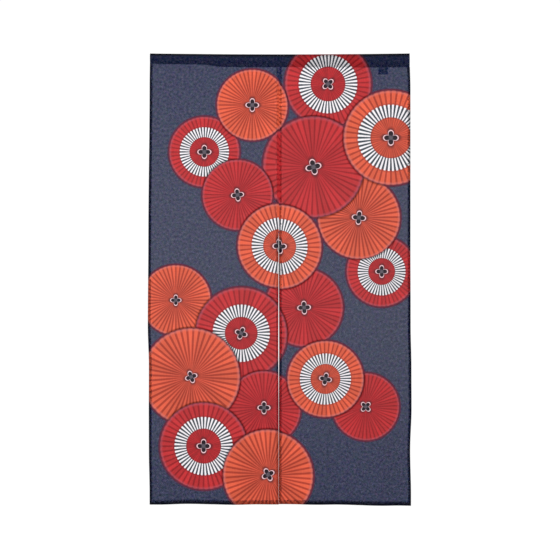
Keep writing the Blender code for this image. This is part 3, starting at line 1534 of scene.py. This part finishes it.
@dataclass(frozen=True)
class ParasolPrint:
    """The traditional parasol print: open paper parasols that lie over each other on navy."""

    inks: PrintInks = field(default_factory=PrintInks)
    petals: int = 48
    least_ring: float = 0.1
    least_radius: float = 0.001
    seed_scale: float = 1000.0
    outline: float = 0.0072
    outline_core: float = 0.0018
    outline_strength: float = 0.90
    halo: float = 0.0110
    halo_strength: float = 0.10
    shaded_way: tuple[float, float, float] = (0.80, 0.60, 0.0)
    least_shade: float = 0.84
    # The doubled and folded shares are painted shade, on doubled cloth and at folded edges
    doubled_print_shade: float = 0.66
    doubled_mottle_shade: float = 0.40
    doubled_outline_shade: float = 0.30
    overlap: float = 0.32
    folded_navy_shade: float = 0.05
    folded_print_shade: float = 0.50

    def build_laying(self) -> bpy.types.NodeTree:
        """Make the group that lays one parasol over what is already there.

        Returns:
            The group's tree. Spot is the place in shares of the radius, Make is the
            ring's two shares and the paper, and Cap is its turn, its share and the radius.
        """
        takes = {
            "Place": "Vector",
            "Spot": "Vector",
            "Make": "Vector",
            "Cap": "Vector",
            "Shade": "Float",
            "Own Middle": "Vector",
            "Own Make": "Vector",
            "Own Cap": "Vector",
            "Own Radius": "Float",
        }
        gives = {"Spot": "Vector", "Make": "Vector", "Cap": "Vector", "Shade": "Float"}
        bench, given, out = new_group("Parasol laid on top", takes, gives)
        radius = given["Own Radius"]
        offset = bench.vector("SUBTRACT", given["Place"], given["Own Middle"])
        reach = bench.length(offset)
        beyond = bench.maths("SUBTRACT", reach, radius)
        covers = bench.maths("LESS_THAN", beyond, 0.0)
        share = bench.scaled(offset, bench.maths("DIVIDE", 1.0, radius))
        line = bench.times(bench.smooth(beyond, self.outline, self.outline_core), self.outline_strength)
        halo = bench.times(bench.smooth(beyond, self.halo, 0.0), self.halo_strength)
        way = bench.maths("DIVIDE", bench.dot(offset, self.shaded_way), reach)
        lean = bench.ranged(way, (-1.0, 1.0), (self.least_shade, 1.0))
        dimming = bench.times(bench.maths("ADD", line, halo), lean)
        shade = bench.times(given["Shade"], bench.maths("SUBTRACT", 1.0, dimming))
        bench.join(out["Spot"], bench.blend("VECTOR", covers, given["Spot"], share))
        bench.join(out["Make"], bench.blend("VECTOR", covers, given["Make"], given["Own Make"]))
        bench.join(out["Cap"], bench.blend("VECTOR", covers, given["Cap"], given["Own Cap"]))
        bench.join(out["Shade"], bench.blend("FLOAT", covers, shade, 1.0))
        return bench.tree

    def build_drawing(self) -> bpy.types.NodeTree:
        """Make the group that draws the parasol on top at each place.

        Returns:
            The group's tree.
        """
        takes = {"Spot": "Vector", "Make": "Vector", "Cap": "Vector"}
        bench, given, out = new_group("Parasol drawing", takes, {"Color": "Color", "Printed": "Float"})
        x, y, _ = bench.parts(given["Spot"])
        ring_from, ring_to, red = bench.parts(given["Make"])
        turn, cap, radius = bench.parts(given["Cap"])
        angle = bench.maths("ARCTAN2", y, x)
        count = bench.maths("ADD", bench.times(angle, self.petals / (2.0 * math.pi)), turn)
        across = bench.maths("ABSOLUTE", bench.maths("SUBTRACT", bench.maths("FRACT", count), 0.5))
        edge = bench.times(across, 2.0)
        spot = Spot(
            reach=bench.length(given["Spot"]),
            angle=bench.maths("SUBTRACT", angle, turn),
            edge=edge,
            scallop=bench.times(edge, edge),
            red=red,
            ring=(ring_from, ring_to),
            ringed=bench.maths("GREATER_THAN", ring_to, self.least_ring),
            cap=cap,
        )
        seed = bench.maths("ADD", bench.maths("FLOOR", count), bench.times(radius, self.seed_scale))
        chance = bench.add("ShaderNodeTexWhiteNoise", {"W": seed}, noise_dimensions="1D").outputs["Value"]
        petals = PaperPetals(self.inks)
        paper = bench.scaled(petals.ribbed(bench, spot), bench.between(chance, *petals.tints))
        paper = petals.rimmed(bench, paper, spot)
        paper = WhiteRing(self.inks).draw(bench, paper, spot)
        paper = PetalledCap(self.inks).draw(bench, paper, spot)
        bench.join(out["Color"], paper)
        bench.join(out["Printed"], bench.maths("GREATER_THAN", radius, self.least_radius))
        return bench.tree

    def build(self) -> bpy.types.NodeTree:
        """Make the whole print as one group.

        Returns:
            The group's tree. Place is the place in the flat cloth in metres, and Layers is
            0 for one layer of cloth, 1 for more and 2 at a folded edge. Mottle is the
            cloth's uneven colour about 0, and Shade is 0 on an outline and 1 away from it.
        """
        takes = {"Place": "Vector", "Layers": "Float", "Mottle": "Vector"}
        gives = {"Color": "Color", "Printed": "Float", "Shade": "Float"}
        laying = self.build_laying()
        drawing = self.build_drawing()
        bench, given, out = new_group("Parasol print", takes, gives)
        under = {"Spot": (0.0, 0.0, 0.0), "Make": (0.0, 0.0, 0.0), "Cap": (0.0, 1.0, 0.0), "Shade": 1.0}
        for parasol in PARASOLS:
            radius = parasol.radius * CENTIMETRE
            node = bench.group(
                laying,
                Place=given["Place"],
                **under,
                Own_Middle=(parasol.x * CENTIMETRE, -parasol.drop * CENTIMETRE, 0.0),
                Own_Make=(parasol.ring_from, parasol.ring_to, parasol.paper.value),
                Own_Cap=(math.radians(parasol.turn), parasol.cap / parasol.radius, radius),
                Own_Radius=radius,
            )
            under = {name: node.outputs[name] for name in under}
        drawn = bench.group(drawing, Spot=under["Spot"], Make=under["Make"], Cap=under["Cap"]).outputs
        # Painted shade: navy, print and outline are darkened on doubled cloth and more at folded edges
        doubled = bench.maths("MINIMUM", given["Layers"], 1.0)
        folded = bench.maths("MAXIMUM", bench.maths("SUBTRACT", given["Layers"], 1.0), 0.0)
        navy = bench.tint(doubled, self.inks.navy, self.inks.navy_doubled_shade)
        uneven = bench.vector("MULTIPLY", given["Mottle"], self.inks.navy_uneven)
        uneven = bench.scaled(uneven, bench.between(doubled, 1.0, self.doubled_mottle_shade))
        navy = bench.vector("MAXIMUM", bench.vector("ADD", navy, uneven), (0.0, 0.0, 0.0))
        navy = bench.scaled(navy, bench.between(folded, 1.0, self.folded_navy_shade))
        folded_print_shade = bench.between(folded, 1.0, self.folded_print_shade)
        ink = bench.scaled(drawn["Color"], bench.between(doubled, 1.0, self.doubled_print_shade))
        ink = bench.scaled(ink, folded_print_shade)
        dark = bench.scaled(self.inks.outline, bench.between(doubled, 1.0, self.doubled_outline_shade))
        dark = bench.scaled(dark, folded_print_shade)
        dark = bench.tint(drawn["Printed"], dark, bench.scaled(ink, self.overlap))
        colour = bench.tint(drawn["Printed"], navy, ink)
        bench.join(out["Color"], bench.tint(under["Shade"], dark, colour))
        bench.join(out["Printed"], drawn["Printed"])
        bench.join(out["Shade"], under["Shade"])
        return bench.tree


@dataclass(frozen=True)
class PlainWeave:
    """The plain weave of the cloth: fine crossed threads with a few thicker ones."""

    thread_pitch: float = 0.00055
    slub_length: float = 0.060
    slub_width: float = 0.0009
    slub_relief: float = 0.6
    slub_span: Ramp = (0.6, 1.4)
    slub_tints: Ramp = (0.86, 1.14)
    mottle_size: float = 0.0080
    mottle_tint: float = 0.30

    def streaks(self, bench: Bench, place: Input, wide: float, tall: float) -> Sockets:
        """Make uneven streaks.

        Args:
            bench: The bench to work on.
            place: The place in the flat cloth.
            wide: How wide a streak is.
            tall: How tall it is.

        Returns:
            Fac is the streaks from 0 to 1, and Color the same by chance for each colour.
        """
        stretched = bench.vector("DIVIDE", place, (wide, tall, 1.0))
        return bench.add("ShaderNodeTexNoise", {"Vector": stretched, "Scale": 1.0, "Detail": 1.0}).outputs

    def build(self) -> bpy.types.NodeTree:
        """Make the weave as one group.

        Returns:
            The group's tree. Height is the threads' relief from 0 to 1, Slub darkens and
            lightens single threads about 1, and Mottle is an uneven colour about 0.
        """
        gives = {"Height": "Float", "Slub": "Float", "Mottle": "Vector"}
        bench, given, out = new_group("Plain weave", {"Place": "Vector"}, gives)
        place = given["Place"]
        x, y, _ = bench.parts(place)
        warp = bench.maths("SINE", bench.times(x, math.pi / self.thread_pitch))
        weft = bench.maths("SINE", bench.times(y, math.pi / self.thread_pitch))
        crossed = bench.maths("MULTIPLY_ADD", bench.times(warp, weft), 0.5, 0.5)
        across = self.streaks(bench, place, self.slub_length, self.slub_width)["Fac"]
        along = self.streaks(bench, place, self.slub_width, self.slub_length)["Fac"]
        slub = bench.maths("ADD", across, along)
        threads = bench.times(crossed, 1.0 - self.slub_relief)
        mottle = self.streaks(bench, place, self.mottle_size, self.mottle_size)
        uneven = bench.blend("VECTOR", self.mottle_tint, mottle["Fac"], mottle["Color"])
        bench.join(out["Height"], bench.maths("MULTIPLY_ADD", slub, self.slub_relief, threads))
        bench.join(out["Slub"], bench.ranged(slub, self.slub_span, self.slub_tints))
        bench.join(out["Mottle"], bench.vector("SUBTRACT", uneven, (0.5, 0.5, 0.5)))
        return bench.tree


@dataclass(frozen=True, kw_only=True)
class WovenCloth:
    """What the finishes of the woven cloths share: their weave, how closed it is, and its soft shine."""

    name: str
    weave: bpy.types.NodeTree
    cover: float
    roughness: float
    gloss: float = 0.08
    sheen: float = 0.02
    relief: float = 0.25
    relief_depth: float = 0.0002

    def build(self) -> bpy.types.Material:
        """Make the cloth's material.

        Returns:
            The material.
        """
        material, bench, surface = new_material(self.name, self.roughness, self.gloss)
        surface["Sheen Weight"].default_value = self.sheen
        surface["Alpha"].default_value = self.cover
        place = bench.add("ShaderNodeUVMap", {}, uv_map=FLAT_MAP).outputs["UV"]
        woven = bench.group(self.weave, Place=place).outputs
        self.dye(bench, surface, place, woven)
        relief = {"Strength": self.relief, "Distance": self.relief_depth, "Height": woven["Height"]}
        bench.join(surface["Normal"], bench.add("ShaderNodeBump", relief).outputs["Normal"])
        return material

    def dye(self, bench: Bench, surface: Sockets, place: Input, woven: Sockets) -> None:
        """Give the cloth its colour, which each finish does in its own way.

        Args:
            bench: The bench to work on.
            surface: The inputs of the Principled BSDF.
            place: The place in the flat cloth.
            woven: What the weave's group gives.
        """
        raise NotImplementedError


@dataclass(frozen=True, kw_only=True)
class PrintedCloth(WovenCloth):
    """The finish of the sheer printed cloth, which the light falls through."""

    pattern: bpy.types.NodeTree
    roughness: float = 0.85
    cover: float = 0.845
    printed_cover: float = 0.895
    outline_cover: float = 0.975

    def dye(self, bench: Bench, surface: Sockets, place: Input, woven: Sockets) -> None:
        """Print the cloth, which closes it more under the ink and most on an outline.

        Args:
            bench: The bench to work on.
            surface: The inputs of the Principled BSDF.
            place: The place in the flat cloth.
            woven: What the weave's group gives.
        """
        # The layers darken the print as painted shade
        layers = bench.add("ShaderNodeAttribute", {}, attribute_name=SHADE_LAYERS).outputs["Fac"]
        drawn = bench.group(self.pattern, Place=place, Layers=layers, Mottle=woven["Mottle"]).outputs
        cover = bench.between(drawn["Printed"], self.cover, self.printed_cover)
        bench.join(surface["Base Color"], bench.scaled(drawn["Color"], woven["Slub"]))
        bench.join(surface["Alpha"], bench.blend("FLOAT", drawn["Shade"], self.outline_cover, cover))


@dataclass(frozen=True, kw_only=True)
class LabelCloth(WovenCloth):
    """The finish of the label's closer cloth, which is bare."""

    colour: Colour = (0.030, 0.030, 0.065)
    roughness: float = 0.7
    cover: float = 0.95

    def dye(self, bench: Bench, surface: Sockets, place: Input, woven: Sockets) -> None:
        """Dye the cloth one colour, lighter and darker on single threads.

        Args:
            bench: The bench to work on.
            surface: The inputs of the Principled BSDF.
            place: The place in the flat cloth.
            woven: What the weave's group gives.
        """
        bench.join(surface["Base Color"], bench.scaled(self.colour, woven["Slub"]))


@dataclass(frozen=True)
class SewingThread:
    """The finish of the sewing thread: twisted plies with painted shade between them, and a soft shine."""

    name: str = "navy_thread"
    colour: Colour = (0.030, 0.036, 0.085)
    ply_pitch: float = 0.00045
    ply_shade_tints: Ramp = (0.7, 1.2)
    roughness: float = 0.55
    gloss: float = 0.5

    def build(self) -> bpy.types.Material:
        """Make the thread's material.

        Returns:
            The material.
        """
        material, bench, surface = new_material(self.name, self.roughness, self.gloss)
        x, y, z = bench.parts(bench.add("ShaderNodeTexCoord", {}).outputs["Object"])
        slant = bench.maths("ADD", bench.maths("ADD", x, y), z)
        ply = bench.maths("SINE", bench.times(slant, 2.0 * math.pi / self.ply_pitch))
        # Painted shade: the thread darkens and lightens along the twist of its plies
        shade = bench.ranged(ply, (-1.0, 1.0), self.ply_shade_tints)
        bench.join(surface["Base Color"], bench.scaled(self.colour, shade))
        return material


class SoftLight(NamedTuple):
    """A soft square light: where it hangs, what it is turned to, its width and its power in watts."""

    name: str
    place: Place
    target: Place
    width: float
    power: float


@dataclass(frozen=True)
class Studio:
    """The plain white studio: camera, soft lights and a pale floor."""

    aim: Place = (0.0012, 0.0, -0.7348)
    frame_width: float = 1.8222
    lens: float = 85.0
    sensor: float = 36.0
    floor_height: float = -2.0
    floor_radius: float = 2.5
    floor_segments: int = 96
    floor_colour: Colour = (0.92, 0.92, 0.92)
    floor_roughness: float = 0.9
    fill: float = 0.62
    backdrop: float = 1.03
    glow_low: float = 1.00
    glow_rise: float = 1.10
    glow_rise_span: Ramp = (-0.19, -0.01)
    glow_fall: float = 0.60
    glow_fall_span: Ramp = (0.05, 0.18)

    def build(self) -> None:
        """Set up the camera, the world, the lights and the floor."""
        self.build_camera()
        self.build_world()
        below = (0.3, 0.6, self.floor_height)
        self.build_light(SoftLight("key", place=(-1.7, -3.4, 0.9), target=self.aim, width=2.2, power=98.0))
        self.build_light(SoftLight("top", place=(0.3, 0.6, 1.6), target=below, width=3.0, power=110.0))
        self.build_floor()
        bpy.context.scene.view_settings.view_transform = "Standard"

    def build_camera(self) -> None:
        """Place the camera square to the cloth, so that the frame is as wide as the photo's."""
        data = bpy.data.cameras.new("camera")
        data.lens = self.lens
        data.sensor_width = self.sensor
        camera = bpy.data.objects.new("camera", data)
        camera.location = Vector(self.aim) - BACKWARDS * (self.frame_width * self.lens / self.sensor)
        camera.rotation_euler = (math.radians(90.0), 0.0, 0.0)
        bpy.context.scene.collection.objects.link(camera)
        bpy.context.scene.camera = camera

    def build_world(self) -> None:
        """Make the white backdrop, its glow through the cloth, and the softer fill light that it gives."""
        world = bpy.data.worlds.new("studio")
        world.use_nodes = True
        bench = Bench(world.node_tree)
        background = world.node_tree.nodes["Background"]
        background.inputs["Color"].default_value = (1.0, 1.0, 1.0, 1.0)
        _, _, up = bench.parts(bench.add("ShaderNodeTexCoord", {}).outputs["Generated"])
        rising = bench.smooth(up, *self.glow_rise_span)
        rise = bench.maths("MULTIPLY_ADD", rising, self.glow_rise, self.glow_low)
        fall = bench.times(bench.smooth(up, *self.glow_fall_span), self.glow_fall)
        glow = bench.maths("SUBTRACT", rise, fall)
        path = bench.add("ShaderNodeLightPath", {}).outputs
        through = bench.maths("GREATER_THAN", path["Transparent Depth"], 0.5)
        behind = bench.blend("FLOAT", through, self.backdrop, glow)
        strength = bench.blend("FLOAT", path["Is Camera Ray"], self.fill, behind)
        bench.join(background.inputs["Strength"], strength)
        bpy.context.scene.world = world

    def build_light(self, soft: SoftLight) -> None:
        """Hang one light.

        Args:
            soft: The light.
        """
        data = bpy.data.lights.new(soft.name, "AREA")
        data.size = soft.width
        data.energy = soft.power
        light = bpy.data.objects.new(soft.name, data)
        light.location = soft.place
        heading = Vector(soft.target) - Vector(soft.place)
        light.rotation_euler = heading.to_track_quat("-Z", "Y").to_euler()
        bpy.context.scene.collection.objects.link(light)

    def build_floor(self) -> None:
        """Lay a round pale floor under the curtain."""
        bm = bmesh.new()
        bmesh.ops.create_circle(
            bm,
            cap_ends=True,
            segments=self.floor_segments,
            radius=self.floor_radius,
            matrix=Matrix.Translation((0.0, 0.0, self.floor_height)),
        )
        material, _, surface = new_material("pale_floor", self.floor_roughness, 0.0)
        surface["Base Color"].default_value = rgba(self.floor_colour)
        mesh = bpy.data.meshes.new("floor")
        bm.to_mesh(mesh)
        bm.free()
        mesh.materials.append(material)
        link("floor", mesh)


def main() -> None:
    """Build the curtain and its studio."""
    logging.basicConfig(level=logging.INFO, format="%(name)s: %(message)s")
    Studio().build()
    weave = PlainWeave().build()
    pattern = ParasolPrint().build()
    sleeve_finish = PrintedCloth(name="sleeve_finish", weave=weave, pattern=pattern).build()
    drop_finish = PrintedCloth(name="drop_finish", weave=weave, pattern=pattern).build()
    cloth = Cloth()
    hang = Hang()
    sewn = (hang, cloth, Stitch(), SewingThread().build())
    label = Label(hang, LabelCloth(name="label_finish", weave=weave).build())
    side_hem = TurnedHem(cloth, *SIDE_HEM)
    bottom_hem = TurnedHem(cloth, *BOTTOM_HEM)
    parts = [Sleeve(*sewn, sleeve_finish, side_hem)]
    for side, slit_hem in SLIT_HEMS.items():
        hems = (side_hem, TurnedHem(cloth, *slit_hem), bottom_hem)
        parts.append(Drop(*sewn, drop_finish, side, *hems, label))
    parts += [CentreJoin(*sewn), label]
    for part in parts:
        for piece in part.build():
            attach(piece, BODY)
            LOG.info("%s: %d points", piece.name, len(piece.data.vertices))


if __name__ == "__main__":
    main()
